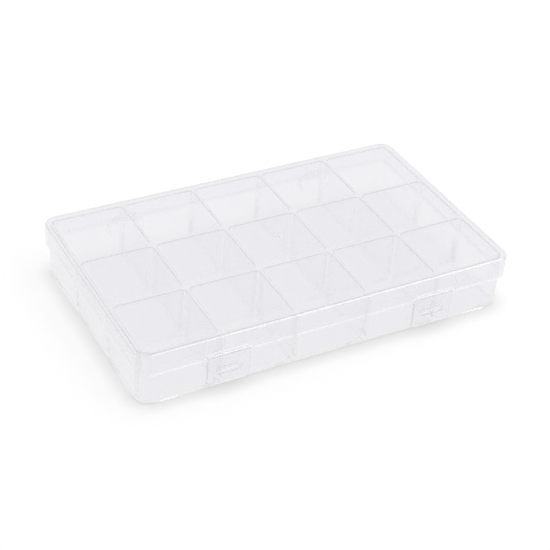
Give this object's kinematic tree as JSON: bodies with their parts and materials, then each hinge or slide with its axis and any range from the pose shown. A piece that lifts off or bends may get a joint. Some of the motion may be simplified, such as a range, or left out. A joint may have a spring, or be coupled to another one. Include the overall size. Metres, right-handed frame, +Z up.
{
  "type": "compartment storage box",
  "caption": "Clear hard plastic storage box: a flat tray of moulded compartments under a hinged lid with a deep skirt, held shut by flap latches on the front.",
  "frame": {"origin": "middle of the tray's flat underside, where the box stands on a table", "axes": "+X along the front edge to the right, +Y from the latches to the hinge, +Z up"},
  "size_m": [0.27, 0.1658, 0.04],
  "materials": {
    "clear_tray": "clear hard plastic, polished mould finish, faint cool tint",
    "clear_lid": "clear hard plastic, polished mould finish, faint cool tint",
    "clear_latch": "clear hard plastic, polished mould finish, faint cool tint",
    "clear_pin": "clear hard plastic, polished mould finish, faint cool tint"
  },
  "bodies": {
    "base": {"base_tray": "clear_tray", "hinge_pin_left": "clear_pin", "hinge_pin_right": "clear_pin"},
    "lid": {"lid": "clear_lid", "latch_pin_left": "clear_pin", "latch_pin_right": "clear_pin"},
    "latch_left": {"latch_left": "clear_latch"},
    "latch_right": {"latch_right": "clear_latch"}
  },
  "joints": [
    {"name": "lid_hinge", "type": "hinge", "parent": "base", "child": "lid", "pos_m": [0, 0.0824, 0.0226], "axis": [-1, 0, 0], "range_deg": [0, 180]},
    {"name": "latch_left_hinge", "type": "hinge", "parent": "lid", "child": "latch_left", "pos_m": [-0.0745, -0.0796, 0.0258], "axis": [-1, 0, 0], "range_deg": [0, 100]},
    {"name": "latch_right_hinge", "type": "hinge", "parent": "lid", "child": "latch_right", "pos_m": [0.0745, -0.0796, 0.0258], "axis": [-1, 0, 0], "range_deg": [0, 100]}
  ]
}
